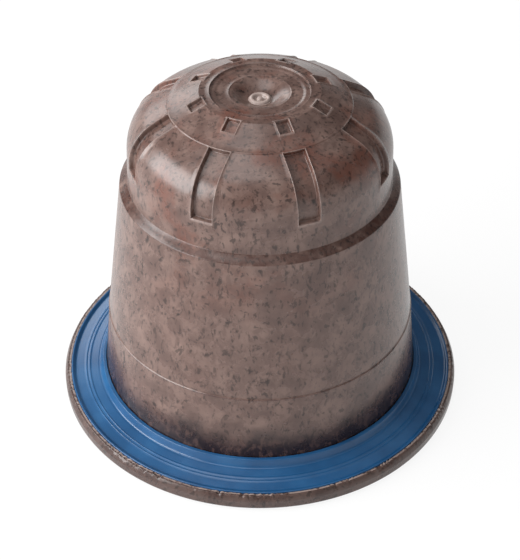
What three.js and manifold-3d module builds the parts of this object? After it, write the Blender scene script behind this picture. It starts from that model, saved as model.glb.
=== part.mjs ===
// Single-serve coffee pod, standing upside down on its sealed flange
// Millimetres, +Z up, origin at the centre of the lid's underside, -Y is the front

import * as THREE from 'three';
import { mergeVertices } from 'three/addons/utils/BufferGeometryUtils.js';
import Module from 'manifold-3d';

const wasm = await Module();
wasm.setup();

// Steps round the axis of every turned form, along a large round and along a small one
const SEGMENTS = 64;
const ARC_STEPS = 12;
const EDGE_STEPS = 3;
const FUNNEL_STEPS = 6;

// Flange, with the upturned lip round its edge; the seat runs from the edge to the cup's foot
const flange = {
  radius: 18.5,
  thickness: 0.62,
  edgeHeight: 1.4,
  bottomRound: 0.3,
  topRound: 0.2,
  lipWidth: 0.36,
  seatWidth: 3.85,
};

// Lid membrane, sealed under the flange a little inside its edge
const lid = { inset: 0.5, thickness: 0.12 };

// Tapered cup wall, from the flange to the ledge, with a fine mould line where its draft changes
const cup = {
  lowerDraft: THREE.MathUtils.degToRad(5.5),
  upperDraft: THREE.MathUtils.degToRad(7.4),
  lineHeight: 8.6,
  lineStep: 0.05,
  topHeight: 21.7,
  ledgeWidth: 0.71,
  ledgeRise: 0.68,
  ledgeRound: 0.3,
  ledgeTurn: THREE.MathUtils.degToRad(60),
};

// Crown above the ledge: upright wall, rounded shoulder and a cone that eases at a mould line
const crown = {
  draft: 0.1,
  wallHeight: 2.97,
  shoulderRound: 3.85,
  coneAngle: THREE.MathUtils.degToRad(27.3),
  coneRun: 1.54,
  lineStep: 0.04,
  innerConeAngle: THREE.MathUtils.degToRad(23.55),
};

// Flat end disc, its recess, the funnel and the injection gate
const end = {
  radius: 5.1,
  rimWidth: 0.88,
  recessDepth: 0.16,
  recessDraft: 0.1,
  recessWidth: 0.5,
  lineDepth: 0.04,
  funnelRadius: 2.62,
  funnelDepth: 0.6,
  gateRadius: 0.72,
  gateBead: 0.14,
  nubRadius: 0.24,
  nubHeight: 0.16,
};

// Long recesses over the shoulder and short notches at the disc's edge
const pattern = { count: 8, offset: THREE.MathUtils.degToRad(-24.5) };
const slot = { width: 1.78, depth: 0.34, lineGap: 0.12, footGap: 2.57 };
const notch = { width: 1.06, depth: 0.28, discOverlap: 0.12, length: 1.17 };

// Sealing ring, seated on the flange inside the lip; its heights are measured from that seat
const ring = {
  clearance: 0.04,
  rimWidth: 0.1,
  rimDrop: 0.02,
  slopeWidth: 0.34,
  flatWidth: 0.97,
  flatOuterHeight: 0.46,
  flatInnerHeight: 0.76,
  bevelWidth: 0.29,
  bevelHeight: 0.98,
  bandHeight: 1.02,
  collarSlope: 0.38,
  collarWidth: 0.33,
  collarHeight: 1.7,
  collarRound: 0.07,
};

const materials = {
  bioplastic: new THREE.MeshStandardMaterial({ color: 0x77655e, roughness: 0.34, metalness: 0 }),
  elastomer: new THREE.MeshStandardMaterial({ color: 0x2b5c94, roughness: 0.32, metalness: 0 }),
  membrane: new THREE.MeshStandardMaterial({ color: 0xd9d3c4, roughness: 0.75, metalness: 0 }),
};

// Heights in the pod's frame: every shell height is measured from the flange's underside
const onShell = (height) => lid.thickness + height;

const point = (radius, height) => new THREE.Vector2(radius, height);

// Points of an arc in the profile plane, both ends included
function arc(centre, radius, start, stop, steps = ARC_STEPS) {
  return Array.from({ length: steps + 1 }, (_, i) => {
    const angle = THREE.MathUtils.lerp(start, stop, i / steps);
    return point(centre.x + radius * Math.cos(angle), centre.y + radius * Math.sin(angle));
  });
}

// Turned solid about +Z from a profile of radius and height that runs from bottom to top
function turned(profile) {
  return new THREE.LatheGeometry(profile, SEGMENTS).rotateX(Math.PI / 2);
}

// Closed solid for cutting and joining
function toSolid(geometry) {
  const bare = geometry.clone();
  bare.deleteAttribute('normal');
  bare.deleteAttribute('uv');
  const merged = mergeVertices(bare, 1e-5);
  return new wasm.Manifold(new wasm.Mesh({
    numProp: 3,
    vertProperties: new Float32Array(merged.attributes.position.array),
    triVerts: new Uint32Array(merged.index.array),
  }));
}

// Triangles of a finished solid, flat shaded
function toGeometry(solid) {
  const mesh = solid.getMesh();
  const geometry = new THREE.BufferGeometry();
  geometry.setAttribute('position', new THREE.BufferAttribute(mesh.vertProperties, 3));
  geometry.setIndex(new THREE.BufferAttribute(mesh.triVerts, 1));
  geometry.computeVertexNormals();
  return geometry;
}

// Seat of the sealing ring: the flange's upper face, between the cup's foot and the lip
const seatHeight = flange.thickness;
const footRadius = flange.radius - flange.seatWidth;
const lipInnerRadius = flange.radius - flange.topRound - flange.lipWidth;

// Radius of the cup wall at a height above the flange's underside
function cupRadius(height) {
  const lower = Math.min(height, cup.lineHeight) - seatHeight;
  const upper = Math.max(height - cup.lineHeight, 0);
  const step = height > cup.lineHeight ? cup.lineStep : 0;
  return footRadius - lower * Math.tan(cup.lowerDraft) - upper * Math.tan(cup.upperDraft) - step;
}

// Flange edge: rounded underside, upright face, rounded lip and the lip's inner wall
function flangeProfile() {
  const low = point(flange.radius - flange.bottomRound, onShell(flange.bottomRound));
  const top = point(flange.radius - flange.topRound, onShell(flange.edgeHeight - flange.topRound));
  return [
    ...arc(low, flange.bottomRound, -Math.PI / 2, 0, EDGE_STEPS),
    ...arc(top, flange.topRound, 0, Math.PI / 2, EDGE_STEPS),
    point(lipInnerRadius, onShell(flange.edgeHeight)),
    point(lipInnerRadius, onShell(seatHeight)),
  ];
}

// Cup wall with its fine mould line, up to the rounded edge of the ledge
function cupProfile() {
  const lineRadius = cupRadius(cup.lineHeight);
  const ledge = point(cupRadius(cup.topHeight) - cup.ledgeRound, onShell(cup.topHeight));
  return [
    point(footRadius, onShell(seatHeight)),
    point(lineRadius, onShell(cup.lineHeight)),
    point(lineRadius - cup.lineStep, onShell(cup.lineHeight + cup.lineStep)),
    ...arc(ledge, cup.ledgeRound, 0, cup.ledgeTurn, EDGE_STEPS),
  ];
}

// Foot of the crown wall, and the circle that rounds the shoulder from the wall to the cone
const crownFoot = point(cupRadius(cup.topHeight) - cup.ledgeWidth, cup.topHeight + cup.ledgeRise);
const shoulder = point(
  crownFoot.x - crown.draft - crown.shoulderRound,
  crownFoot.y + crown.wallHeight,
);

// Mould line on the cone, a step inside the place where the cone leaves the shoulder
const coneLineRadius = shoulder.x + crown.shoulderRound * Math.sin(crown.coneAngle) - crown.coneRun;

// Height of the outer cone above the flange's underside, sunk by an inset along its normal
function outerCone(radius, inset) {
  const slant = (crown.shoulderRound - inset) / Math.cos(crown.coneAngle);
  return shoulder.y + slant + (shoulder.x - radius) * Math.tan(crown.coneAngle);
}

// Height of the flatter cone inside the mould line, sunk by an inset along its normal
function innerCone(radius, inset) {
  const start = outerCone(coneLineRadius, 0) + crown.lineStep;
  const run = coneLineRadius - crown.lineStep - radius;
  return start + run * Math.tan(crown.innerConeAngle) - inset / Math.cos(crown.innerConeAngle);
}

// Upright crown wall, rounded shoulder and cone, sunk by an inset along the surface normal
function crownProfile(inset) {
  const centre = point(shoulder.x, onShell(shoulder.y));
  const coneTop = Math.PI / 2 - crown.coneAngle;
  return [
    point(crownFoot.x - inset, onShell(crownFoot.y)),
    ...arc(centre, crown.shoulderRound - inset, 0, coneTop),
    point(coneLineRadius, onShell(outerCone(coneLineRadius, inset))),
    point(coneLineRadius - crown.lineStep, onShell(innerCone(coneLineRadius - crown.lineStep, inset))),
  ];
}

// Smooth dish between the funnel's rim and the gate bead
function funnelCurve(rimHeight, floorHeight) {
  const foot = end.gateRadius + end.gateBead;
  return Array.from({ length: FUNNEL_STEPS - 1 }, (_, i) => {
    const share = (i + 1) / FUNNEL_STEPS;
    const fall = (1 - Math.cos(Math.PI * share)) / 2;
    const height = THREE.MathUtils.lerp(rimHeight, floorHeight, fall);
    return point(THREE.MathUtils.lerp(end.funnelRadius, foot, share), onShell(height));
  });
}

// Disc at the top of the cone, its recess, funnel and gate, down to the axis
function endProfile() {
  const height = innerCone(end.radius, 0);
  const floor = height - end.recessDepth;
  const bowl = floor - end.lineDepth;
  const bottom = bowl - end.funnelDepth;
  const recessRadius = end.radius - end.rimWidth;
  const lineRadius = recessRadius - end.recessWidth;
  const bead = point(end.gateRadius, onShell(bottom));
  return [
    point(end.radius, onShell(height)),
    point(recessRadius, onShell(height)),
    point(recessRadius - end.recessDraft, onShell(floor)),
    point(lineRadius, onShell(floor)),
    point(lineRadius - end.lineDepth, onShell(bowl)),
    point(end.funnelRadius, onShell(bowl)),
    ...funnelCurve(bowl, bottom),
    ...arc(bead, end.gateBead, 0, Math.PI, EDGE_STEPS),
    point(end.nubRadius, onShell(bottom)),
    point(end.nubRadius * Math.SQRT1_2, onShell(bottom + end.nubHeight * Math.SQRT1_2)),
    point(0, onShell(bottom + end.nubHeight)),
  ];
}

// Skin between the sunk floor of a recess and the air outside the crown
function recessSkin(depth) {
  const reach = crown.shoulderRound / 2;
  const outer = crownProfile(-reach);
  const inner = crownProfile(depth).reverse();
  return turned([
    ...outer,
    point(0, onShell(innerCone(0, -reach))),
    point(0, onShell(innerCone(0, depth))),
    ...inner,
    outer[0],
  ]);
}

// Recesses of one kind: upright bars, spaced round the axis and limited to the crown's skin
function recesses({ width, depth }, innerRadius, outerRadius, bottom) {
  const skin = toSolid(recessSkin(depth));
  const top = innerCone(0, -crown.shoulderRound);
  const box = new THREE.BoxGeometry(width, outerRadius - innerRadius, top - bottom);
  box.translate(0, -(outerRadius + innerRadius) / 2, onShell((top + bottom) / 2));
  return Array.from({ length: pattern.count }, (_, i) => {
    const angle = pattern.offset + (i * 2 * Math.PI) / pattern.count;
    return toSolid(box.clone().rotateZ(angle)).intersect(skin);
  });
}

// Moulded shell with its sealed charge of coffee
function podBody() {
  const profile = [
    point(0, onShell(0)),
    ...flangeProfile(),
    ...cupProfile(),
    ...crownProfile(0),
    ...endProfile(),
  ];
  const notchInner = end.radius - notch.discOverlap;
  const cuts = [
    ...recesses(slot, coneLineRadius + slot.lineGap, flange.radius, crownFoot.y + slot.footGap),
    ...recesses(notch, notchInner, notchInner + notch.length, shoulder.y),
  ];
  const body = cuts.reduce((solid, cut) => solid.subtract(cut), toSolid(turned(profile)));
  return toGeometry(body);
}

// Sealing ring: rim, slope, rising flat, bevel, band, slope and the rounded collar at the wall
function sealingRing() {
  const onSeat = (height) => onShell(seatHeight + height);
  const wall = (height) => cupRadius(seatHeight + height) + ring.clearance;
  const outer = lipInnerRadius - ring.clearance;
  const rimTop = onShell(flange.edgeHeight - ring.rimDrop);
  const flatOuter = outer - ring.rimWidth - ring.slopeWidth;
  const flatInner = flatOuter - ring.flatWidth;
  const collarRadius = wall(ring.collarHeight) + ring.collarWidth;
  const round = point(collarRadius - ring.collarRound, onSeat(ring.collarHeight - ring.collarRound));
  return turned([
    point(wall(0), onSeat(0)),
    point(outer, onSeat(0)),
    point(outer, rimTop),
    point(outer - ring.rimWidth, rimTop),
    point(flatOuter, onSeat(ring.flatOuterHeight)),
    point(flatInner, onSeat(ring.flatInnerHeight)),
    point(flatInner - ring.bevelWidth, onSeat(ring.bevelHeight)),
    point(collarRadius + ring.collarSlope, onSeat(ring.bandHeight)),
    ...arc(round, ring.collarRound, 0, Math.PI / 2, EDGE_STEPS),
    point(wall(ring.collarHeight), onSeat(ring.collarHeight)),
    point(wall(0), onSeat(0)),
  ]);
}

// Heat-sealed membrane under the flange
function lidFilm() {
  const radius = flange.radius - lid.inset;
  return turned([
    point(0, 0),
    point(radius, 0),
    point(radius, lid.thickness),
    point(0, lid.thickness),
  ]);
}

// Mesh with its node's name and material
function named(name, geometry, material) {
  const mesh = new THREE.Mesh(geometry, material);
  mesh.name = name;
  return mesh;
}

const pod = new THREE.Group();
pod.name = 'coffee_pod';
pod.add(named('pod_body', podBody(), materials.bioplastic));
pod.add(named('sealing_ring', sealingRing(), materials.elastomer));
pod.add(named('lid_film', lidFilm(), materials.membrane));

export default pod;
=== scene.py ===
"""Coffee pod: a moulded fibre-filled shell with a blue sealing ring, standing on its lid.

All sizes are in millimetres and become metres when a mesh is made. Azimuth is measured from the
front (-Y) towards the right (+X), as seen from above, and heights start at the lid's underside.
"""

import logging
import math
from dataclasses import dataclass, field
from enum import Enum

import bpy
import numpy as np
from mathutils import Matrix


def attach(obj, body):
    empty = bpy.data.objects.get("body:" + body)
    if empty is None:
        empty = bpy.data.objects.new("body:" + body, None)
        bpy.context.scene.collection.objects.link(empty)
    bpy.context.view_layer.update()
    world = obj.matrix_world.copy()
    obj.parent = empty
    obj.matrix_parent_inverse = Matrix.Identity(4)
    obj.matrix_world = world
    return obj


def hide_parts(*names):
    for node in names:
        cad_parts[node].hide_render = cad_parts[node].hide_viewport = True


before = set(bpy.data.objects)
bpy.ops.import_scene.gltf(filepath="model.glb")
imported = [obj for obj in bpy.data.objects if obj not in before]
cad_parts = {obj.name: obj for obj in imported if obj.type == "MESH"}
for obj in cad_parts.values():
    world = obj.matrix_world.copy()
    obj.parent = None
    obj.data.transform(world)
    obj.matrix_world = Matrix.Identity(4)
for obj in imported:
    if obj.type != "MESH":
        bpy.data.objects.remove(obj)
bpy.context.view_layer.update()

Tree = bpy.types.NodeTree
Socket = bpy.types.NodeSocket
Object = bpy.types.Object
Material = bpy.types.Material
Corner = tuple[float, float, float]

MM = 0.001
TINY = 1e-6
SEED = 37
log = logging.getLogger("coffee_pod")


class Node(Enum):
    """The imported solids, by the names that the frame gives them."""

    BODY = "pod_body"
    RING = "sealing_ring"
    LID = "lid_film"


class Slot(Enum):
    """The record's material slots."""

    SHELL = "bioplastic"
    RING = "elastomer"
    LID = "membrane"


class Loop(Enum):
    """How the rows of a turned grid end."""

    POLES = "poles"
    CLOSED = "closed"


def linear(colour: str) -> tuple[float, float, float, float]:
    """Turns an sRGB hex colour into linear light.

    Args:
        colour: Six hex digits, with or without a hash sign.

    Returns:
        Linear red, green, blue and an alpha of one.
    """
    digits = colour.lstrip("#")
    encoded = np.array([int(digits[i:i + 2], 16) for i in (0, 2, 4)]) / 255.0
    low = encoded / 12.92
    high = ((encoded + 0.055) / 1.055) ** 2.4
    red, green, blue = np.where(encoded <= 0.04045, low, high)
    return float(red), float(green), float(blue), 1.0


def add(tree: Tree, kind: str, settings: dict | None = None,
        links: dict | None = None) -> bpy.types.Node:
    """Adds one node with its settings and its incoming links.

    Args:
        tree: The node tree.
        kind: The node's type name.
        settings: Attribute names, input names or input numbers with their values. The name stops
            stands for a colour ramp's positions, each with an sRGB hex colour.
        links: Input names or numbers, with the output sockets that feed them.

    Returns:
        The new node.
    """
    node = tree.nodes.new(kind)
    for name, value in (settings or {}).items():
        if name == "stops":
            points = node.color_ramp.elements
            points.remove(points[1])
            points[0].position, points[0].color = value[0][0], linear(value[0][1])
            for position, colour in value[1:]:
                points.new(position).color = linear(colour)
        elif isinstance(name, int) or name in node.inputs:
            node.inputs[name].default_value = value
        else:
            setattr(node, name, value)
    for name, socket in (links or {}).items():
        tree.links.new(socket, node.inputs[name])
    return node


def lay(tree: Tree, base: Socket, colour: str,
        mask: Socket, strength: float = 1.0) -> Socket:
    """Lays a colour over another where a mask says so.

    Args:
        tree: The node tree.
        base: The colour below.
        colour: The sRGB hex colour above.
        mask: Share of the colour above, from 0 to 1.
        strength: Its share where the mask is full.

    Returns:
        The mixed colour.
    """
    share = add(tree, "ShaderNodeMath", {"operation": "MULTIPLY", 1: strength}, {0: mask})
    return add(tree, "ShaderNodeMix", {"data_type": "RGBA", 7: linear(colour)},
               {0: share.outputs["Value"], 6: base}).outputs[2]


def new_material(name: str) -> tuple[Material, Tree]:
    """Makes an empty node material.

    Args:
        name: The material's name.

    Returns:
        The material and its node tree.
    """
    material = bpy.data.materials.new(name)
    material.use_nodes = True
    material.node_tree.nodes.clear()
    return material, material.node_tree


def finish_material(tree: Tree, shader: Socket) -> None:
    """Joins a shader to the material's output.

    Args:
        tree: The node tree.
        shader: The shader output.
    """
    add(tree, "ShaderNodeOutputMaterial", links={"Surface": shader})


def object_place(tree: Tree) -> Socket:
    """Gives Object coordinates in millimetres.

    Args:
        tree: The node tree.

    Returns:
        The coordinates output.
    """
    source = add(tree, "ShaderNodeTexCoord").outputs["Object"]
    return add(tree, "ShaderNodeMapping", {"Scale": (1 / MM,) * 3}, {"Vector": source}).outputs["Vector"]


def axis_distance(tree: Tree, place: Socket) -> Socket:
    """Gives the distance from the pod's axis: the length of the coordinates without height.

    Args:
        tree: The node tree.
        place: Coordinates in millimetres.

    Returns:
        The distance in millimetres.
    """
    flat = add(tree, "ShaderNodeVectorMath", {"operation": "MULTIPLY", 1: (1.0, 1.0, 0.0)}, {0: place})
    return add(tree, "ShaderNodeVectorMath", {"operation": "LENGTH"},
               {0: flat.outputs["Vector"]}).outputs["Value"]


def marbled(tree: Tree, place: Socket, size: float, detail: float,
            stops: list[tuple[float, str]]) -> tuple[Socket, Socket]:
    """Clouds a colour: a noise pattern read off along a row of colours.

    Args:
        tree: The node tree.
        place: Coordinates in millimetres.
        size: Width of a cloud in millimetres.
        detail: Number of finer layers.
        stops: Noise levels, each with an sRGB hex colour.

    Returns:
        The pattern and the colour.
    """
    cloud = add(tree, "ShaderNodeTexNoise", {"Scale": 1 / size, "Detail": detail}, {"Vector": place})
    colour = add(tree, "ShaderNodeValToRGB", {"stops": stops}, {"Fac": cloud.outputs["Fac"]})
    return cloud.outputs["Fac"], colour.outputs["Color"]


@dataclass(frozen=True)
class MouldedSkin:
    """Skin of a moulding: its gloss drifts with the clouds, over a faint grain.

    The gloss range is what the clouds add to the roughness. The grain's size and height are in
    millimetres.
    """

    ior: float
    gloss: float
    gloss_range: tuple[float, float]
    grain_size: float
    grain_height: float
    grain_detail: float
    grain_strength: float

    def shader(self, tree: Tree, place: Socket, colour: Socket, cloud: Socket) -> Socket:
        """Builds the shader.

        Args:
            tree: The node tree.
            place: Coordinates in millimetres.
            colour: The moulding's colour.
            cloud: The pattern of the clouds.

        Returns:
            The shader's output.
        """
        low, high = self.gloss_range
        haze = add(tree, "ShaderNodeMapRange", {"To Min": self.gloss + low, "To Max": self.gloss + high},
                   {"Value": cloud})
        grain = add(tree, "ShaderNodeTexNoise",
                    {"Scale": 1 / self.grain_size, "Detail": self.grain_detail}, {"Vector": place})
        relief = add(tree, "ShaderNodeBump",
                     {"Strength": self.grain_strength, "Distance": self.grain_height * MM},
                     {"Height": grain.outputs["Fac"]})
        return add(tree, "ShaderNodeBsdfPrincipled", {"IOR": self.ior},
                   {"Base Color": colour, "Roughness": haze.outputs["Result"],
                    "Normal": relief.outputs["Normal"]}).outputs["BSDF"]


@dataclass(frozen=True)
class Spots:
    """One layer of soft-edged spots: its colour, and how its noise pattern is cut off.

    The size is the width and length of a spot's cell in millimetres. The levels are the noise at
    which a spot starts and at which it is full. The shift keeps two layers apart.
    """

    colour: str
    size: tuple[float, float]
    levels: tuple[float, float]
    shift: float
    strength: float
    detail: float = 2.0
    roughness: float = 0.55
    flows: bool = True

    def mask(self, tree: Tree, place: Socket) -> Socket:
        """Draws the spots: a noise pattern, cut off at a level.

        Args:
            tree: The node tree.
            place: Coordinates in millimetres, whose third value runs along the spots.

        Returns:
            The mask of the spots.
        """
        scale = (1 / self.size[0], 1 / self.size[0], 1 / self.size[1])
        cells = add(tree, "ShaderNodeMapping", {"Location": (self.shift,) * 3, "Scale": scale},
                    {"Vector": place})
        pattern = add(tree, "ShaderNodeTexNoise",
                      {"Scale": 1.0, "Detail": self.detail, "Roughness": self.roughness},
                      {"Vector": cells.outputs["Vector"]})
        return add(tree, "ShaderNodeMapRange", {"interpolation_type": "SMOOTHSTEP",
                                                "From Min": self.levels[0], "From Max": self.levels[1]},
                   {"Value": pattern.outputs["Fac"]}).outputs["Result"]


@dataclass(frozen=True)
class FibreBioplastic:
    """Plant-fibre filled polyester, injection moulded against polished steel.

    The eye sees a glossy brown skin over husk and fibre ends: marbled clouds, fine dark flecks
    drawn out along the melt's path and rusty patches near the crown. Painted shade lays a dark
    reddish band on the ledge, and painted shade with a painted reflection of the blue ring darkens
    the cup's foot. Painted highlights turn the recesses' edges, the lip's flash and the gate pale.
    """

    deep: str = "#54403a"
    base: str = "#644f48"
    pale: str = "#725c54"
    cloud_size: float = 1.9
    cloud_detail: float = 5.0
    cloud_levels: tuple[float, float, float] = (0.33, 0.5, 0.66)
    rust: Spots = Spots("#61301f", (4.5, 4.5), (0.48, 0.66), 0.0, 0.55, 5.0)
    rust_bottom: float = 17.0
    rust_top: float = 22.0
    rust_least: float = 0.12
    # Painted shade on the ledge: a dark reddish band.
    band: Spots = Spots("#3a1d14", (0.9, 0.9), (0.3, 0.55), 53.0, 0.75, 4.0)
    ledge_level: float = 22.17
    ledge_half: float = 0.3
    # Painted shade and a painted reflection of the blue ring, laid dark over the cup's foot.
    foot: str = "#1a0f12"
    foot_shade_strength: float = 0.95
    foot_top: float = 6.4
    foot_bottom: float = 2.6
    foot_drift: float = 5.5
    foot_border: float = 10 / 3
    flange_top: float = 1.9
    flange_share: float = 0.55
    fibres: tuple[Spots, ...] = (
        Spots("#54403a", (0.5, 0.8), (0.5, 0.64), 17.0, 0.6),
        Spots("#1f1512", (0.38, 0.6), (0.57, 0.66), 3.0, 0.64),
        Spots("#1f1512", (0.3, 1.1), (0.6, 0.685), 7.0, 0.52),
        Spots("#1f1512", (0.95, 1.2), (0.67, 0.74), 29.0, 0.7, 3.0, flows=False),
    )
    bend_size: float = 1.8
    bend_reach: float = 1.2
    # Colour of the painted highlights, and the spots that break them up along the lip.
    torn_and_highlight: Spots = Spots("#b5a49d", (0.38, 0.6), (0.36, 0.5), 41.0, 0.65)
    lip_radius: float = 18.01
    lip_half: float = 0.1
    lip_level: float = 1.4
    lip_share: float = 0.75
    edge_share: float = 0.45
    gate_radius: float = 0.98
    skin: MouldedSkin = MouldedSkin(ior=1.52, gloss=0.25, gloss_range=(-0.05, 0.1),
                                    grain_size=1 / 3, grain_height=0.015,
                                    grain_detail=3.0, grain_strength=0.2)

    def flow(self, tree: Tree, place: Socket) -> Socket:
        """Bends the piece's flow lines a little, as an eddying melt does.

        Args:
            tree: The node tree.
            place: Coordinates on the object in millimetres.

        Returns:
            Coordinates in millimetres, with the flow along the third value.
        """
        lines = add(tree, "ShaderNodeAttribute", {"attribute_name": "flow"})
        eddy = add(tree, "ShaderNodeTexNoise", {"Scale": 1 / self.bend_size, "Detail": 1.0},
                   {"Vector": place})
        centred = add(tree, "ShaderNodeVectorMath", {"operation": "SUBTRACT", 1: (0.5, 0.5, 0.5)},
                      {0: eddy.outputs["Color"]})
        drift = add(tree, "ShaderNodeVectorMath", {"operation": "SCALE", "Scale": self.bend_reach},
                    {0: centred.outputs["Vector"]})
        return add(tree, "ShaderNodeVectorMath", {"operation": "ADD"},
                   {0: lines.outputs["Vector"], 1: drift.outputs["Vector"]}).outputs["Vector"]

    def foot_shade_zone(self, tree: Tree, place: Socket) -> Socket:
        """Masks the painted shade and painted reflection of the blue ring at the cup's foot: full
        below, gone above, with a drifting border.

        The flange lies below the zone and takes only a part of it.

        Args:
            tree: The node tree.
            place: Coordinates on the object in millimetres.

        Returns:
            The zone's mask.
        """
        drift = add(tree, "ShaderNodeTexNoise", {"Scale": 1 / self.foot_border, "Detail": 4.0},
                    {"Vector": place})
        height = add(tree, "ShaderNodeSeparateXYZ", links={"Vector": place})
        level = add(tree, "ShaderNodeMath", {"operation": "MULTIPLY_ADD", 1: self.foot_drift},
                    {0: drift.outputs["Fac"], 2: height.outputs["Z"]})
        middle = self.foot_drift / 2
        zone = add(tree, "ShaderNodeMapRange",
                   {"interpolation_type": "SMOOTHSTEP", "From Min": self.foot_top + middle,
                    "From Max": self.foot_bottom + middle}, {"Value": level.outputs["Value"]})
        above = add(tree, "ShaderNodeMath", {"operation": "GREATER_THAN", 1: self.flange_top},
                    {0: height.outputs["Z"]})
        share = add(tree, "ShaderNodeMath", {"operation": "MAXIMUM", 1: self.flange_share},
                    {0: above.outputs["Value"]})
        return add(tree, "ShaderNodeMath", {"operation": "MULTIPLY"},
                   {0: zone.outputs["Result"], 1: share.outputs["Value"]}).outputs["Value"]

    def ledge_shade_zone(self, tree: Tree, place: Socket) -> Socket:
        """Masks the ledge for a dark reddish band of painted shade.

        Args:
            tree: The node tree.
            place: Coordinates on the object in millimetres.

        Returns:
            The band's mask.
        """
        height = add(tree, "ShaderNodeSeparateXYZ", links={"Vector": place})
        band = add(tree, "ShaderNodeMath",
                   {"operation": "COMPARE", 1: self.ledge_level, 2: self.ledge_half},
                   {0: height.outputs["Z"]})
        return add(tree, "ShaderNodeMath", {"operation": "MULTIPLY"},
                   {0: band.outputs["Value"], 1: self.band.mask(tree, place)}).outputs["Value"]

    def rust_zone(self, tree: Tree, place: Socket) -> Socket:
        """Masks the rusty patches: full near the crown, fading to a small share lower down.

        Args:
            tree: The node tree.
            place: Coordinates on the object in millimetres.

        Returns:
            The patches' mask.
        """
        height = add(tree, "ShaderNodeSeparateXYZ", links={"Vector": place})
        share = add(tree, "ShaderNodeMapRange",
                    {"From Min": self.rust_bottom, "From Max": self.rust_top,
                     "To Min": self.rust_least}, {"Value": height.outputs["Z"]})
        return add(tree, "ShaderNodeMath", {"operation": "MULTIPLY"},
                   {0: self.rust.mask(tree, place), 1: share.outputs["Result"]}).outputs["Value"]

    def painted_highlight_zone(self, tree: Tree, place: Socket) -> Socket:
        """Masks the painted highlights that turn the lip's flash, the recesses' edges and the gate pale.

        The lip lies within half its width of its middle radius and above its level, and its mask
        is broken up by spots. The edges of the recesses come from the piece's edge attribute. The
        gate is all that lies within its radius.

        Args:
            tree: The node tree.
            place: Coordinates on the object in millimetres.

        Returns:
            The mask of the whitened places.
        """
        radius = axis_distance(tree, place)
        height = add(tree, "ShaderNodeSeparateXYZ", links={"Vector": place})
        ring = add(tree, "ShaderNodeMath", {"operation": "COMPARE", 1: self.lip_radius, 2: self.lip_half},
                   {0: radius})
        high = add(tree, "ShaderNodeMath", {"operation": "GREATER_THAN", 1: self.lip_level},
                   {0: height.outputs["Z"]})
        lip = add(tree, "ShaderNodeMath", {"operation": "MULTIPLY"},
                  {0: ring.outputs["Value"], 1: high.outputs["Value"]})
        torn_and_highlight = add(tree, "ShaderNodeMath", {"operation": "MULTIPLY"},
                   {0: lip.outputs["Value"], 1: self.torn_and_highlight.mask(tree, place)})
        gate = add(tree, "ShaderNodeMath", {"operation": "LESS_THAN", 1: self.gate_radius}, {0: radius})
        # Painted highlights on the recesses' bead edges and on the gate.
        edge = add(tree, "ShaderNodeAttribute", {"attribute_name": "edge"})
        sharp = add(tree, "ShaderNodeMath", {"operation": "MULTIPLY", 1: self.edge_share},
                    {0: edge.outputs["Fac"]})
        mark = add(tree, "ShaderNodeMath", {"operation": "MAXIMUM"},
                   {0: sharp.outputs["Value"], 1: gate.outputs["Value"]})
        flash = add(tree, "ShaderNodeMath", {"operation": "MULTIPLY", 1: self.lip_share},
                    {0: torn_and_highlight.outputs["Value"]})
        return add(tree, "ShaderNodeMath", {"operation": "MAXIMUM"},
                   {0: flash.outputs["Value"], 1: mark.outputs["Value"]}).outputs["Value"]

    def material(self) -> Material:
        """Builds the shell's material from its flow and edge attributes and its place on the pod.

        Returns:
            The material.
        """
        material, tree = new_material("fibre_filled_bioplastic")
        place = object_place(tree)
        flow = self.flow(tree, place)
        stops = list(zip(self.cloud_levels, (self.deep, self.base, self.pale)))
        cloud, colour = marbled(tree, place, self.cloud_size, self.cloud_detail, stops)
        colour = lay(tree, colour, self.rust.colour, self.rust_zone(tree, place), self.rust.strength)
        # Painted shade: a dark reddish band darkens the ledge.
        colour = lay(tree, colour, self.band.colour, self.ledge_shade_zone(tree, place), self.band.strength)
        # Painted shade and a painted reflection of the blue ring darken the cup's foot.
        colour = lay(tree, colour, self.foot, self.foot_shade_zone(tree, place), self.foot_shade_strength)
        for layer in self.fibres:
            mask = layer.mask(tree, flow if layer.flows else place)
            colour = lay(tree, colour, layer.colour, mask, layer.strength)
        # Painted highlights: the lip's flash, the recesses' edges and the gate turn pale.
        colour = lay(tree, colour, self.torn_and_highlight.colour, self.painted_highlight_zone(tree, place), self.torn_and_highlight.strength)
        finish_material(tree, self.skin.shader(tree, place, colour, cloud))
        return material


@dataclass(frozen=True)
class MouldedElastomer:
    """Thermoplastic elastomer, moulded: an even blue with a soft gloss and a faint cloudy bloom."""

    deep: str = "#1a466e"
    base: str = "#1d4c76"
    pale: str = "#23537d"
    cloud_size: float = 3.5
    cloud_detail: float = 3.0
    cloud_levels: tuple[float, float, float] = (0.35, 0.5, 0.65)
    skin: MouldedSkin = MouldedSkin(ior=1.5, gloss=0.22, gloss_range=(-0.04, 0.08),
                                    grain_size=0.4, grain_height=0.01,
                                    grain_detail=2.0, grain_strength=0.1)

    def material(self) -> Material:
        """Builds the ring's material.

        Returns:
            The material.
        """
        material, tree = new_material("moulded_elastomer")
        place = object_place(tree)
        stops = list(zip(self.cloud_levels, (self.deep, self.base, self.pale)))
        cloud, colour = marbled(tree, place, self.cloud_size, self.cloud_detail, stops)
        finish_material(tree, self.skin.shader(tree, place, colour, cloud))
        return material


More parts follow.
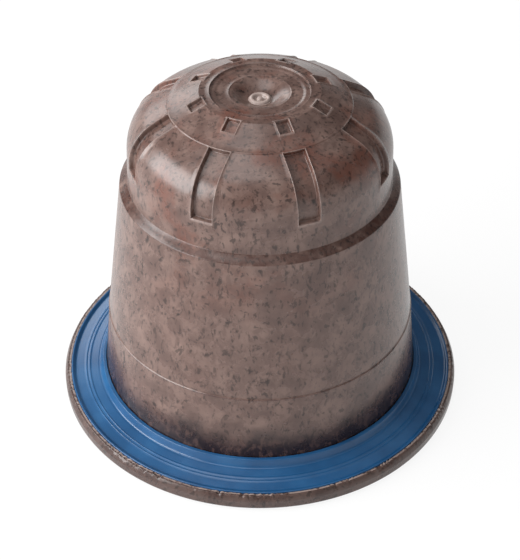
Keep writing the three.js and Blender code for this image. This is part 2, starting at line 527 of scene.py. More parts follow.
@dataclass(frozen=True)
class PaperMembrane:
    """Paper-backed membrane, laminated and heat-sealed: matt, pale, fibrous, with a pressed ring."""

    base: str = "#d8d1c2"
    fibre: str = "#c6bda9"
    pressed: str = "#a89e8a"
    fibre_size: float = 0.5
    fibre_levels: tuple[float, float] = (0.35, 0.6)
    seal_middle: float = 16.0
    seal_half: float = 1.4
    seal_strength: float = 0.35
    relief: float = 0.03
    relief_strength: float = 0.4
    roughness: float = 0.7

    def material(self) -> Material:
        """Builds the lid's material.

        Returns:
            The material.
        """
        material, tree = new_material("paper_membrane")
        place = object_place(tree)
        fibres = add(tree, "ShaderNodeTexNoise",
                     {"Scale": 1 / self.fibre_size, "Detail": 5.0, "Roughness": 0.7}, {"Vector": place})
        stops = list(zip(self.fibre_levels, (self.fibre, self.base)))
        colour = add(tree, "ShaderNodeValToRGB", {"stops": stops},
                     {"Fac": fibres.outputs["Fac"]}).outputs["Color"]
        seal = add(tree, "ShaderNodeMath",
                   {"operation": "COMPARE", 1: self.seal_middle, 2: self.seal_half},
                   {0: axis_distance(tree, place)}).outputs["Value"]
        colour = lay(tree, colour, self.pressed, seal, self.seal_strength)
        height = add(tree, "ShaderNodeMath", {"operation": "SUBTRACT"},
                     {0: fibres.outputs["Fac"], 1: seal})
        relief = add(tree, "ShaderNodeBump",
                     {"Strength": self.relief_strength, "Distance": self.relief * MM},
                     {"Height": height.outputs["Value"]})
        shader = add(tree, "ShaderNodeBsdfPrincipled", {"Roughness": self.roughness},
                     {"Base Color": colour, "Normal": relief.outputs["Normal"]})
        finish_material(tree, shader.outputs["BSDF"])
        return material


def rounded(corners: list[Corner], steps: int = 6, closed: bool = False) -> np.ndarray:
    """Draws an outline with its corners rounded by arcs.

    Each corner becomes an arc that touches both of its sides: with half angle a between the
    sides, the arc starts radius / tan(a) from the corner and its centre lies radius / sin(a)
    away, along the line that halves the angle.

    Args:
        corners: Radius from the axis, height and rounding radius of each corner.
        steps: Steps along each arc.
        closed: Whether the last corner joins the first.

    Returns:
        Points of the outline, one row each, as radius and height.
    """
    data = np.array(corners, dtype=float)
    before = np.roll(data, 1, axis=0)
    after = np.roll(data, -1, axis=0)
    pieces = []
    for index, (corner, last, following) in enumerate(zip(data, before, after)):
        spot, radius = corner[:2], corner[2]
        is_end = not closed and index in (0, len(data) - 1)
        if radius <= 0 or is_end:
            pieces.append(spot[None])
            continue
        back = (last[:2] - spot) / np.linalg.norm(last[:2] - spot)
        ahead = (following[:2] - spot) / np.linalg.norm(following[:2] - spot)
        half = math.acos(np.clip(back @ ahead, -1, 1)) / 2
        middle = (back + ahead) / np.linalg.norm(back + ahead)
        centre = spot + middle * radius / math.sin(half)
        start = spot + back * radius / math.tan(half) - centre
        end = spot + ahead * radius / math.tan(half) - centre
        share = np.linspace(0, 1, steps + 1)[:, None]
        turn = math.pi - 2 * half
        arc = (np.sin((1 - share) * turn) * start + np.sin(share * turn) * end) / math.sin(turn)
        pieces.append(centre + arc)
    return np.concatenate(pieces)


def unrounded(radius: np.ndarray, height: np.ndarray) -> list[Corner]:
    """Makes the points of a curve into corners without rounding."""
    return [(float(r), float(h), 0.0) for r, h in zip(radius, height)]


def arc_length(outline: np.ndarray) -> np.ndarray:
    """Measures an outline from its first point.

    Args:
        outline: Points as radius and height.

    Returns:
        Distance along the outline at each point.
    """
    steps = np.linalg.norm(np.diff(outline, axis=0), axis=1)
    return np.concatenate([[0.0], np.cumsum(steps)])


def refined(outline: np.ndarray, spacing: float, extra: np.ndarray,
            least: float = 0.008) -> tuple[np.ndarray, np.ndarray]:
    """Adds rows to an outline, evenly and at given distances.

    Args:
        outline: Points as radius and height.
        spacing: Widest step between rows.
        extra: Distances along the outline that also get a row.
        least: Narrowest step between rows.

    Returns:
        The rows' distances along the outline, and their points.
    """
    length = arc_length(outline)
    even = np.linspace(0, length[-1], int(length[-1] / spacing) + 1)
    rows = np.unique(np.round(np.concatenate([length, even, extra]), 4))
    keep = np.concatenate([[True], np.diff(rows) > least])
    rows = rows[keep]
    rows[-1] = length[-1]
    points = np.stack([np.interp(rows, length, outline[:, i]) for i in (0, 1)], axis=1)
    return rows, points


def closed_rows(outline: np.ndarray, spacing: float) -> np.ndarray:
    """Adds rows evenly to an outline whose last point joins its first."""
    _, points = refined(np.vstack([outline, outline[:1]]), spacing, np.array([]))
    return points[:-1]


def full_circle(columns: int) -> np.ndarray:
    """Gives evenly spaced azimuths round the axis, as one row."""
    return np.linspace(0, 2 * np.pi, columns, endpoint=False)[None]


def outward(rows: np.ndarray, points: np.ndarray, reach: float = 0.15) -> np.ndarray:
    """Gives the outward normal of an outline that runs up and towards the axis.

    The tangent is the chord between the points a reach before and after, which evens out kinks.

    Args:
        rows: Distance of each point along the outline.
        points: Points as radius and height.
        reach: Half the chord's length along the outline.

    Returns:
        Unit normals: the tangent turned a quarter towards the outside.
    """
    ahead = np.stack([np.interp(rows + reach, rows, points[:, i]) for i in (0, 1)], axis=1)
    back = np.stack([np.interp(rows - reach, rows, points[:, i]) for i in (0, 1)], axis=1)
    tangent = ahead - back
    normal = np.stack([tangent[:, 1], -tangent[:, 0]], axis=1)
    return normal / np.maximum(np.linalg.norm(normal, axis=1, keepdims=True), TINY)


def smooth(value: np.ndarray) -> np.ndarray:
    """Eases a value from 0 to 1 with level ends: 3 t squared minus 2 t cubed."""
    share = np.clip(value, 0, 1)
    return share * share * (3 - 2 * share)


def periodic_noise(count: int, roughest: int, seed: int) -> np.ndarray:
    """Makes smooth random values round a circle: a sum of waves with random phases.

    Args:
        count: Number of values.
        roughest: Highest number of waves round the circle.
        seed: Seed of the random phases.

    Returns:
        Values with a mean of zero and a spread of one.
    """
    random = np.random.default_rng(seed)
    waves = np.arange(1, roughest + 1)
    angle = np.linspace(0, 2 * np.pi, count, endpoint=False)
    phase = random.uniform(0, 2 * np.pi, roughest)
    weight = random.normal(0, 1, roughest)
    values = (weight * np.cos(angle[:, None] * waves + phase)).sum(axis=1)
    return values / values.std()


def turned(radius: np.ndarray, height: np.ndarray, azimuth: np.ndarray) -> np.ndarray:
    """Places points about the axis: x is r sin(azimuth), y is -r cos(azimuth).

    Args:
        radius: Distance from the axis, by row and column.
        height: Height, by row and column.
        azimuth: Angle from the front towards the right, by row and column.

    Returns:
        Points in millimetres, as rows, columns and coordinates.
    """
    x, y, z = np.broadcast_arrays(radius * np.sin(azimuth), -radius * np.cos(azimuth), height)
    return np.stack([x, y, z], axis=-1)


def turned_mesh(name: str, grid: np.ndarray, loop: Loop) -> Object:
    """Makes an object from a grid of points that runs round the axis.

    Row i and column j of the grid hold one point. Columns close on themselves. Rows either close
    too, or end in one point at each pole.

    Args:
        name: The object's name.
        grid: Points in millimetres, as rows, columns and coordinates.
        loop: How the rows end.

    Returns:
        The object, smooth shaded, at the origin.
    """
    rows, columns = grid.shape[:2]
    index = np.arange(rows * columns).reshape(rows, columns)
    following = np.roll(index, -1, axis=1)
    if loop is Loop.CLOSED:
        above = np.roll(index, -1, axis=0)
        above_following = np.roll(following, -1, axis=0)
        quads = np.stack([index, following, above_following, above], axis=-1).reshape(-1, 4)
        faces = quads.tolist()
        points = grid.reshape(-1, 3)
    else:
        inner = slice(1, rows - 1)
        body, body_following = index[inner], following[inner]
        quads = np.stack([body[:-1], body_following[:-1], body_following[1:], body[1:]], axis=-1)
        bottom = np.stack([np.full(columns, index[0, 0]), following[1], index[1]], axis=-1)
        top = np.stack([np.full(columns, index[-1, 0]), index[-2], following[-2]], axis=-1)
        used = np.concatenate([[index[0, 0]], index[inner].ravel(), [index[-1, 0]]])
        order = np.zeros(rows * columns, dtype=int)
        order[used] = np.arange(len(used))
        faces = order[quads.reshape(-1, 4)].tolist() + order[bottom].tolist() + order[top].tolist()
        points = grid.reshape(-1, 3)[used]
    mesh = bpy.data.meshes.new(name)
    mesh.from_pydata((points * MM).tolist(), [], faces)
    mesh.polygons.foreach_set("use_smooth", np.ones(len(mesh.polygons), dtype=bool))
    mesh.update()
    piece = bpy.data.objects.new(name, mesh)
    bpy.context.scene.collection.objects.link(piece)
    log.info("%s: %d points, %d faces", name, len(mesh.vertices), len(mesh.polygons))
    return piece


def at_points(grid: np.ndarray) -> np.ndarray:
    """Gives a grid's values at the points of its mesh, with one for each pole."""
    return np.concatenate([grid[:1, 0], grid[1:-1].reshape(-1, *grid.shape[2:]), grid[-1:, 0]])


def store(piece: Object, name: str, values: np.ndarray) -> None:
    """Stores an attribute on a piece.

    Args:
        piece: The piece.
        name: The attribute's name.
        values: One number or one vector for each point. A flow runs along the third value, in
            millimetres.
    """
    kind, part = ("FLOAT_VECTOR", "vector") if values.ndim > 1 else ("FLOAT", "value")
    attribute = piece.data.attributes.new(name, kind, "POINT")
    attribute.data.foreach_set(part, values.astype(np.float32).ravel())


def install(piece: Object, material: Material, node: Node) -> None:
    """Dresses a finished piece and puts it in its node's place.

    Args:
        piece: The piece.
        material: Its material.
        node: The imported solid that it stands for.
    """
    piece.data.materials.append(material)
    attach(piece, "root")
    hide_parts(node.value)


@dataclass
class Recess:
    """A row of equal recesses of even depth, each with a fine bead along its edge."""

    half_width: float
    depth: float
    wall: float = 0.04
    bead_rise: float = 0.05
    bead_gap: float = 0.085
    bead_half: float = 0.04

    def sink(self, across: np.ndarray, along: np.ndarray, start: float, end: float) -> np.ndarray:
        """Works out how far each point sinks.

        The signed distance to the edge is the least of the distances to the two sides and the
        two ends. The wall is an eased step about that edge, and the bead a bell curve outside it.

        Args:
            across: Distance from the recess's middle line, by row and column.
            along: Distance along the outline, by row.
            start: Where the recess starts along the outline.
            end: Where it ends.

        Returns:
            Depth below the outline, negative on the bead.
        """
        ends = np.minimum(along - start, end - along)[:, None]
        inside = np.minimum(self.half_width - np.abs(across), ends)
        floor = self.depth * smooth((inside + self.wall) / (2 * self.wall))
        bead = self.bead_rise * np.exp(-(((inside + self.bead_gap) / self.bead_half) ** 2))
        return floor - bead


@dataclass
class PodShell:
    """Moulded cup with its ledge, crown, recesses, end disc, funnel and gate."""

    lid: float = 0.12
    plate_radius: float = 16.0
    plate_top: float = 0.62
    foot_radius: float = 14.5
    foot_height: float = 2.2
    line_radius: float = 13.88
    line_height: float = 8.6
    line_step: float = 0.05
    line_bead: float = 0.045
    ledge_radius: float = 12.16
    ledge_height: float = 21.8
    crown_foot: float = 22.32
    crown_flare: float = 0.02
    crown_radius: float = 11.42
    crown_draft: float = 0.1
    shoulder_height: float = 25.35
    shoulder_round: float = 3.85
    cone_angle: float = math.radians(27.3)
    cone_line: float = 7.7
    cone_step: float = 0.055
    disc_height: float = 30.72
    disc_radius: float = 5.1
    disc_round: float = 0.08
    recess_radius: float = 4.22
    recess_depth: float = 0.14
    recess_draft: float = 0.03
    inner_line: float = 3.72
    inner_depth: float = 0.04
    funnel_radius: float = 2.62
    funnel_depth: float = 0.7
    funnel_edge: float = 0.7
    gate_radius: float = 0.72
    gate_bead: float = 0.2
    nub_radius: float = 0.27
    nub_height: float = 0.2
    nub_taper: float = 0.75
    nub_shoulder: float = 0.8
    nub_round: float = 0.08
    groove_round: float = 0.05
    groove_width: float = 0.12
    groove_depth: float = 0.12
    sharp_round: float = 0.01
    fine_round: float = 0.02
    soft_round: float = 0.03
    ledge_round: float = 0.11
    count: int = 8
    first_azimuth: float = math.radians(-24.5)
    slot: Recess = field(default_factory=lambda: Recess(0.89, 0.41))
    slot_inner: float = 7.82
    slot_bottom: float = 24.95
    notch: Recess = field(default_factory=lambda: Recess(0.53, 0.28))
    notch_inner: float = 4.98
    notch_outer: float = 6.15
    land_steps: int = 8
    floor_steps: int = 5
    edge_steps: tuple[float, ...] = (0.15, 0.115, 0.085, 0.06, 0.035, 0.012, -0.012, -0.035, -0.08)
    widest_edge: float = 0.35
    row_spacing: float = 0.45

    def cup_radius(self, height: float) -> float:
        """Radius of the lower cup wall, on the line from its foot to the mould line."""
        share = (height - self.foot_height) / (self.line_height - self.foot_height)
        return self.foot_radius + share * (self.line_radius - self.foot_radius)

    def cone_height(self, radius: float) -> float:
        """Gives the height of the cone: a straight line that touches the shoulder's arc.

        Args:
            radius: Distance from the axis.

        Returns:
            The height above the lid.
        """
        centre = self.crown_radius - self.crown_draft - self.shoulder_round
        touch = centre + self.shoulder_round * math.sin(self.cone_angle)
        level = self.shoulder_height + self.shoulder_round * math.cos(self.cone_angle)
        return level + (touch - radius) * math.tan(self.cone_angle)

    def shoulder(self, steps: int = 28) -> list[Corner]:
        """Draws the shoulder: a circle's points from the wall round to the cone.

        Args:
            steps: Steps along the arc.

        Returns:
            Corners without rounding.
        """
        centre = self.crown_radius - self.crown_draft - self.shoulder_round
        angle = np.linspace(0, math.pi / 2 - self.cone_angle, steps + 1)
        radius = centre + self.shoulder_round * np.cos(angle)
        height = self.shoulder_height + self.shoulder_round * np.sin(angle)
        return unrounded(radius, height)

    def funnel(self, rim: float, floor: float, start: float = 0.04, steps: int = 20) -> list[Corner]:
        """Draws the dish from the funnel's rim to the gate: a half wave of the cosine.

        Args:
            rim: Height of the rim.
            floor: Height of the bottom.
            start: Share of the way in at which the curve starts.
            steps: Steps along the dish.

        Returns:
            Corners without rounding.
        """
        share = np.linspace(start, 1, steps)
        foot = self.gate_radius + self.gate_bead
        radius = self.funnel_radius + share * (foot - self.funnel_radius)
        height = rim + (floor - rim) * (1 - np.cos(np.pi * share)) / 2
        return unrounded(radius, height)

    def bead(self, floor: float, steps: int = 10) -> list[Corner]:
        """Draws the round bead about the gate: a half circle that stands on the funnel's floor.

        Args:
            floor: Height of the funnel's floor.
            steps: Steps along the half circle.

        Returns:
            Corners without rounding.
        """
        angle = np.linspace(0, np.pi, steps + 1)[1:]
        radius = self.gate_radius + self.gate_bead * np.cos(angle)
        height = floor + self.gate_bead * np.sin(angle)
        return unrounded(radius, height)

    def outline(self) -> np.ndarray:
        """Draws the whole outline, from the middle of the underside to the top of the gate.

        Each corner is a radius, a height and the radius that rounds it.

        Returns:
            Points as radius and height above the lid's underside.
        """
        floor = self.disc_height - self.recess_depth
        bowl = floor - self.inner_depth
        bottom = bowl - self.funnel_depth
        line = self.cone_height(self.cone_line)
        bead, sharp, fine, soft = self.line_bead, self.sharp_round, self.fine_round, self.soft_round
        corners = [
            (0.0, 0.0, 0.0),
            (self.plate_radius, 0.0, 0.0),
            (self.plate_radius, self.plate_top, 0.0),
            (self.cup_radius(self.plate_top), self.plate_top, 0.0),
            (self.line_radius, self.line_height - 3 * bead, sharp),
            (self.line_radius + bead, self.line_height - bead, fine),
            (self.line_radius - self.line_step - bead, self.line_height + bead, sharp),
            (self.line_radius - self.line_step, self.line_height + 3 * bead, fine),
            (self.ledge_radius, self.ledge_height, self.ledge_round),
            (self.crown_radius + self.crown_flare, self.crown_foot, self.ledge_round),
            *self.shoulder(),
            (self.cone_line + 2 * bead, self.cone_height(self.cone_line + 2 * bead), fine),
            (self.cone_line, line + bead, soft),
            (self.cone_line - 2 * bead, line + self.cone_step, fine),
            (self.disc_radius, self.disc_height, self.disc_round),
            (self.recess_radius + 2 * bead, self.disc_height, sharp),
            (self.recess_radius + sharp, self.disc_height + bead, fine),
            (self.recess_radius - self.recess_draft, floor, soft),
            (self.inner_line, floor, fine),
            (self.inner_line - self.inner_depth, bowl, fine),
            (self.funnel_radius + 2 * bead, bowl, sharp),
            (self.funnel_radius, bowl + self.funnel_edge * bead, soft),
            *self.funnel(bowl, bottom),
            *self.bead(bottom),
            (self.nub_radius + self.groove_width, bottom - self.groove_depth, self.groove_round),
            (self.nub_radius, bottom, soft),
            (self.nub_radius * self.nub_taper, bottom + self.nub_height * self.nub_shoulder,
             self.nub_round),
            (0.0, bottom + self.nub_height, 0.0),
        ]
        points = rounded(corners, steps=3)
        points[:, 1] += self.lid
        return points

    def spans(self, outline: np.ndarray) -> dict[str, tuple[float, float]]:
        """Finds where the recesses start and end along the outline.

        Args:
            outline: Points as radius and height.

        Returns:
            The start and end distance of the slots and of the notches.
        """
        length = arc_length(outline)
        wall = (outline[:, 1] > self.crown_foot) & (outline[:, 1] < self.shoulder_height + 1)
        low = float(np.interp(self.slot_bottom + self.lid, outline[wall, 1], length[wall]))
        cone = (length > low) & (outline[:, 0] > self.recess_radius)
        inward = slice(None, None, -1)
        radius, distance = outline[cone, 0][inward], length[cone][inward]
        ends = [self.slot_inner, self.notch_outer, self.notch_inner]
        high, outer, inner = np.interp(ends, radius, distance)
        return {"slot": (low, float(high)), "notch": (float(outer), float(inner))}

    def angles(self, radius: np.ndarray) -> tuple[np.ndarray, np.ndarray]:
        """Places the columns so that some follow the recesses' parallel sides.

        A side at distance w from a recess's middle line lies at azimuth asin(w / r). Towards the
        axis the distances shrink with the radius, so the columns stay apart.

        Args:
            radius: Radius of each row.

        Returns:
            Azimuth of each row and column, and the distance from the nearest middle line.
        """
        hold = np.minimum(1.0, radius / self.disc_radius)[:, None]
        reach = np.maximum(radius, TINY)[:, None]
        grow = smooth((radius - self.notch_outer) / (self.slot_inner - self.notch_outer))[:, None]
        half = self.notch.half_width + grow * (self.slot.half_width - self.notch.half_width)
        side = (half + np.array(self.edge_steps)) * hold / reach
        edges = np.arcsin(np.clip(side, 0, self.widest_edge))
        outer, inner = edges[:, :1], edges[:, -1:]
        pitch = math.pi / self.count
        land = np.linspace(0, 1, self.land_steps + 1)[:-1]
        floor = np.linspace(-1, 1, self.floor_steps + 1)[1:-1]
        left_land = -pitch + land * (pitch - outer)
        right_land = outer + (land + 1 / self.land_steps)[:-1] * (pitch - outer)
        sector = np.hstack([left_land, -edges, floor * inner, edges[:, ::-1], right_land])
        middle = self.first_azimuth + np.arange(self.count) * 2 * pitch
        azimuth = (middle[None, :, None] + sector[:, None, :]).reshape(len(radius), -1)
        distance = np.tile(radius[:, None] * np.sin(sector), (1, self.count))
        return azimuth, distance

    def build(self) -> Object:
        """Builds the shell: each point moves in from the outline by the depth of its recess.

        Returns:
            The shell's object.
        """
        outline = self.outline()
        spans = self.spans(outline)
        ends = np.array([end for pair in spans.values() for end in pair])
        extra = (ends[:, None] + np.array(self.edge_steps)).ravel()
        rows, points = refined(outline, self.row_spacing, extra)
        azimuth, distance = self.angles(points[:, 0])
        depth = self.slot.sink(distance, rows, *spans["slot"])
        depth += self.notch.sink(distance, rows, *spans["notch"])
        normal = outward(rows, points)
        radius = points[:, :1] - depth * normal[:, :1]
        height = points[:, 1:] - depth * normal[:, 1:]
        grid = turned(radius, height, azimuth)
        piece = turned_mesh("pod_shell", grid, Loop.POLES)
        flow = turned(radius, rows[:, None], azimuth)
        on_disc = points[:, 0] < self.disc_radius - self.fine_round
        on_plate = points[:, 1] < self.lid + self.plate_top
        flow = np.where((on_disc | on_plate)[:, None, None], grid, flow)
        store(piece, "flow", at_points(flow))
        # The edge attribute marks the recesses' beads, where the shell's material paints a highlight.
        store(piece, "edge", at_points(np.clip(-depth / self.slot.bead_rise, 0, 1)))
        return piece

    def dress(self, piece: Object, material: Material) -> None:
        """Gives the shell its material and its place."""
        install(piece, material, Node.BODY)


@dataclass
class FlangeRim:
    """Edge of the flange: an upright face and a thin lip with a torn moulding flash."""

    lid: float = 0.12
    inner: float = 16.0
    outer: float = 18.5
    plate_top: float = 0.62
    edge_height: float = 1.4
    face_height: float = 0.9
    top_inset: float = 0.22
    lip_width: float = 0.34
    foot_round: float = 0.28
    face_round: float = 0.12
    lip_round: float = 0.06
    inner_round: float = 0.05
    columns: int = 1080
    spacing: float = 0.16
    chip_zone: float = 0.22
    chip_fade: float = 0.2
    chip_depth: float = 0.06
    chip_waves: int = 420
    rise_range: tuple[float, float] = (-1.6, 0.6)
    side_range: tuple[float, float] = (-1.2, 0.8)
    torn_waves: int = 35
    torn_share: float = 0.8

    def outline(self) -> np.ndarray:
        """Draws the rim's closed section, starting at its inner underside.

        Returns:
            Points as radius and height.
        """
        lip_inner = self.outer - self.top_inset - self.lip_width
        corners = [
            (self.inner, 0.0, 0.0),
            (self.outer, 0.0, self.foot_round),
            (self.outer, self.face_height, self.face_round),
            (self.outer - self.top_inset, self.edge_height, self.lip_round),
            (lip_inner, self.edge_height, self.inner_round),
            (lip_inner, self.plate_top, 0.0),
            (self.inner, self.plate_top, 0.0),
        ]
        points = rounded(corners, closed=True)
        points[:, 1] += self.lid
        return points

    def build(self) -> Object:
        """Builds the rim: near the lip's top, noise round the edge moves each point down and in.

        Returns:
            The rim's object.
        """
        points = closed_rows(self.outline(), self.spacing)
        level = points[:, 1:] - self.lid - self.edge_height
        top = self.chip_depth * smooth((level + self.chip_zone) / self.chip_fade)
        torn_and_highlight = smooth((periodic_noise(self.columns, self.torn_waves, SEED + 2) + 1) * self.torn_share)
        rise = torn_and_highlight * np.clip(periodic_noise(self.columns, self.chip_waves, SEED), *self.rise_range)
        side = torn_and_highlight * np.clip(periodic_noise(self.columns, self.chip_waves, SEED + 1), *self.side_range)
        height = points[:, 1:] + top * (rise - self.rise_range[1])
        radius = points[:, :1] + top * (side - self.side_range[1]) / 2
        grid = turned(radius, height, full_circle(self.columns))
        piece = turned_mesh("flange_rim", grid, Loop.CLOSED)
        store(piece, "flow", grid.reshape(-1, 3))
        return piece

    def dress(self, piece: Object, material: Material) -> None:
        """Gives the rim its material and its place."""
        install(piece, material, Node.BODY)


@dataclass
class SealingRing:
    """Blue ring on the flange: outer rim, sloping flat, bevel, band and a collar at the cup."""

    lid: float = 0.12
    seat: float = 0.62
    clearance: float = 0.04
    outer: float = 17.9
    rim_top: float = 1.46
    rim_width: float = 0.16
    rim_rounds: tuple[float, float] = (0.075, 0.06)
    flat_outer: float = 17.5
    flat_outer_height: float = 1.25
    flat_round: float = 0.2
    ridge_radius: float = 16.48
    ridge_height: float = 1.4
    ridge_rise: float = 0.045
    ridge_half: float = 0.07
    ridge_slope: float = 0.01
    ridge_round: float = 0.05
    foot_round: float = 0.03
    inner_ridge_radius: float = 16.17
    inner_ridge_height: float = 1.46
    band_radius: float = 15.3
    band_height: float = 1.6
    groove_width: float = 0.12
    groove_depth: float = 0.04
    collar_radius: float = 14.86
    collar_height: float = 2.3
    collar_round: float = 0.07
    collar_slope: float = 0.02
    edge_round: float = 0.04
    spacing: float = 0.2
    columns: int = 360

    def ridge(self, radius: float, height: float) -> list[Corner]:
        """Draws a low round ridge on the ring's upper face, from its outer foot to its inner foot.

        Args:
            radius: Radius of the ridge's top.
            height: Height of its feet.

        Returns:
            Three corners, each with its rounding radius.
        """
        return [
            (radius + self.ridge_half, height - self.ridge_slope, self.foot_round),
            (radius, height + self.ridge_rise, self.ridge_round),
            (radius - self.ridge_half, height + self.ridge_slope, self.foot_round),
        ]

    def outline(self, shell: PodShell) -> np.ndarray:
        """Draws the ring's closed section, starting at its seat by the cup.

        Args:
            shell: The shell that the ring clears.

        Returns:
            Points as radius and height.
        """
        low = shell.cup_radius(self.seat) + self.clearance
        high = shell.cup_radius(self.collar_height) + self.clearance
        corners = [
            (low, self.seat, 0.0),
            (self.outer, self.seat, 0.0),
            (self.outer, self.rim_top, self.rim_rounds[0]),
            (self.outer - self.rim_width, self.rim_top, self.rim_rounds[1]),
            (self.flat_outer, self.flat_outer_height, self.flat_round),
            *self.ridge(self.ridge_radius, self.ridge_height),
            *self.ridge(self.inner_ridge_radius, self.inner_ridge_height),
            (self.band_radius, self.band_height, self.foot_round),
            (self.band_radius - self.groove_width, self.band_height - self.groove_depth, self.foot_round),
            (self.collar_radius, self.collar_height, self.collar_round),
            (high, self.collar_height + self.collar_slope, self.edge_round),
        ]
        points = rounded(corners, closed=True)
        points[:, 1] += self.lid
        return points

    def build(self, shell: PodShell) -> Object:
        """Builds the ring as a turned section.

        Args:
            shell: The shell that the ring clears.

        Returns:
            The ring's object.
        """
        points = closed_rows(self.outline(shell), self.spacing)
        grid = turned(points[:, :1], points[:, 1:], full_circle(self.columns))
        return turned_mesh("elastomer_ring", grid, Loop.CLOSED)

    def dress(self, piece: Object, material: Material) -> None:
        """Gives the ring its material and its place."""
        install(piece, material, Node.RING)


@dataclass(frozen=True)
class SoftLamp:
    """A soft rectangular lamp: its place and size in metres, and its power in watts."""

    name: str
    spot: tuple[float, float, float]
    size: tuple[float, float]
    power: float
    aim: tuple[float, float, float] = (0.0, 0.0, 0.015)

    def hang(self) -> None:
        """Hangs the lamp and points it at the pod."""
        data = bpy.data.lights.new(self.name, "AREA")
        data.shape = "RECTANGLE"
        data.size, data.size_y = self.size
        data.energy = self.power
        lamp = bpy.data.objects.new(self.name, data)
        lamp.location = self.spot
        x, y, z = np.array(self.aim) - np.array(self.spot)
        lamp.rotation_euler = (math.atan2(math.hypot(x, y), -z), 0.0, math.atan2(x, -y) + math.pi)
        bpy.context.scene.collection.objects.link(lamp)


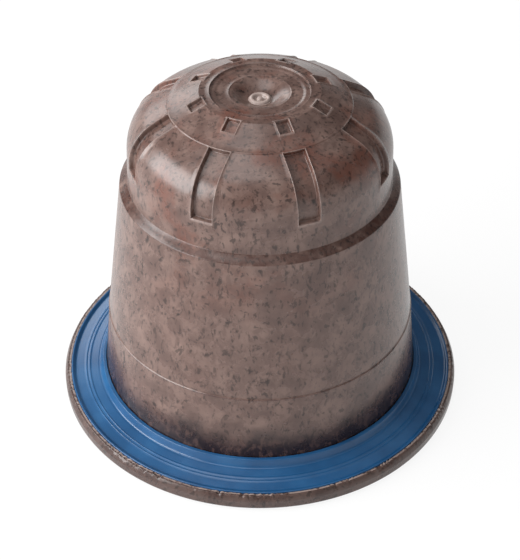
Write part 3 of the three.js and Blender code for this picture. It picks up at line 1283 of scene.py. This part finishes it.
@dataclass
class Studio:
    """Plain floor, soft lamps, world and the camera."""

    focal_pixels: float = 1450.0
    picture_height: int = 560
    camera_back: float = 102.86
    camera_up: float = 94.42
    camera_pitch: float = math.radians(39.189)
    clip_start: float = 0.005
    floor_colour: str = "#f4f4f4"
    floor_size: float = 3.0
    floor_gap: float = 0.05
    floor_white: float = 0.88
    shade_reach: float = 0.08
    white_reach: float = 0.3
    white: str = "#ffffff"
    around: str = "#adadad"
    sky: tuple[tuple[float, str], ...] = (
        (0.0, "#ffffff"), (0.12, "#9a9a9a"), (0.3, "#5c5c5c"), (0.68, "#5c5c5c"), (0.9, "#c0c0c0"),
    )
    lamps: tuple[SoftLamp, ...] = (
        SoftLamp("key", (-0.22, -0.06, 0.125), (0.28, 0.17), 1.2),
        SoftLamp("back", (-0.14, 0.26, 0.15), (0.2, 0.12), 0.25),
        SoftLamp("top", (-0.08, -0.03, 0.34), (0.2, 0.2), 0.3),
        SoftLamp("fill", (0.12, -0.3, 0.2), (0.3, 0.3), 0.07),
    )

    def camera(self) -> None:
        """Places the camera at the photograph's angle: above the front, looking down."""
        data = bpy.data.cameras.new("camera")
        data.lens = self.focal_pixels / self.picture_height * data.sensor_width
        data.clip_start = self.clip_start
        view = bpy.data.objects.new("camera", data)
        view.location = (0.0, -self.camera_back * MM, self.camera_up * MM)
        view.rotation_euler = (math.pi / 2 - self.camera_pitch, 0.0, 0.0)
        bpy.context.scene.collection.objects.link(view)
        bpy.context.scene.camera = view

    def floor(self) -> None:
        """Lays a pale floor that shows white, keeps the pod's shadow and is open from below."""
        half, low = self.floor_size / 2, -self.floor_gap * MM
        corners = [(-half, -half, low), (half, -half, low), (half, half, low), (-half, half, low)]
        mesh = bpy.data.meshes.new("floor")
        mesh.from_pydata(corners, [], [(0, 1, 2, 3)])
        plane = bpy.data.objects.new("floor", mesh)
        bpy.context.scene.collection.objects.link(plane)
        material, tree = new_material("studio_floor")
        matt = add(tree, "ShaderNodeBsdfDiffuse", {"Color": linear(self.floor_colour)})
        glow = add(tree, "ShaderNodeEmission", {"Color": linear(self.white), "Strength": 1.0})
        path = add(tree, "ShaderNodeLightPath")
        direct = add(tree, "ShaderNodeMath", {"operation": "MAXIMUM"},
                     {0: path.outputs["Is Camera Ray"], 1: path.outputs["Is Transmission Ray"]})
        seen = add(tree, "ShaderNodeMath", {"operation": "MAXIMUM"},
                   {0: direct.outputs["Value"], 1: path.outputs["Is Glossy Ray"]})
        place = add(tree, "ShaderNodeTexCoord").outputs["Object"]
        distance = add(tree, "ShaderNodeVectorMath", {"operation": "LENGTH"}, {0: place})
        white = add(tree, "ShaderNodeMapRange",
                    {"From Min": self.shade_reach, "From Max": self.white_reach,
                     "To Min": self.floor_white}, {"Value": distance.outputs["Value"]})
        share = add(tree, "ShaderNodeMath", {"operation": "MULTIPLY"},
                    {0: seen.outputs["Value"], 1: white.outputs["Result"]})
        both = add(tree, "ShaderNodeMixShader", links={0: share.outputs["Value"], 1: matt.outputs["BSDF"],
                                                       2: glow.outputs["Emission"]})
        below = add(tree, "ShaderNodeNewGeometry").outputs["Backfacing"]
        clear = add(tree, "ShaderNodeBsdfTransparent")
        whole = add(tree, "ShaderNodeMixShader", links={0: below, 1: both.outputs["Shader"],
                                                        2: clear.outputs["BSDF"]})
        finish_material(tree, whole.outputs["Shader"])
        mesh.materials.append(material)

    def world(self) -> None:
        """Surrounds the pod with white near the horizon and a dimmer ceiling."""
        world = bpy.data.worlds.new("studio")
        world.use_nodes = True
        tree = world.node_tree
        tree.nodes.clear()
        way = add(tree, "ShaderNodeTexCoord").outputs["Generated"]
        parts = add(tree, "ShaderNodeSeparateXYZ", links={"Vector": way})
        shade = add(tree, "ShaderNodeValToRGB", {"stops": self.sky}, {"Fac": parts.outputs["Z"]})
        path = add(tree, "ShaderNodeLightPath")
        soft = lay(tree, shade.outputs["Color"], self.around, path.outputs["Is Diffuse Ray"])
        seen = lay(tree, soft, self.white, path.outputs["Is Camera Ray"])
        back = add(tree, "ShaderNodeBackground", {"Strength": 1.0}, {"Color": seen})
        add(tree, "ShaderNodeOutputWorld", links={"Surface": back.outputs["Background"]})
        bpy.context.scene.world = world

    def build(self) -> None:
        """Sets up the whole studio."""
        self.camera()
        self.floor()
        for lamp in self.lamps:
            lamp.hang()
        self.world()
        bpy.context.scene.view_settings.view_transform = "Standard"


def main() -> None:
    """Builds the studio and each piece of the pod, and reports them."""
    logging.basicConfig(level=logging.INFO, format="%(name)s: %(message)s")
    Studio().build()
    shell = PodShell()
    bioplastic = FibreBioplastic().material()
    shell.dress(shell.build(), bioplastic)
    rim = FlangeRim()
    rim.dress(rim.build(), bioplastic)
    ring = SealingRing()
    ring.dress(ring.build(shell), MouldedElastomer().material())
    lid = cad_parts[Node.LID.value]
    lid.data.materials.clear()
    lid.data.materials.append(PaperMembrane().material())
    log.info("lid_film: kept from the frame, in paper membrane")


if __name__ == "__main__":
    main()
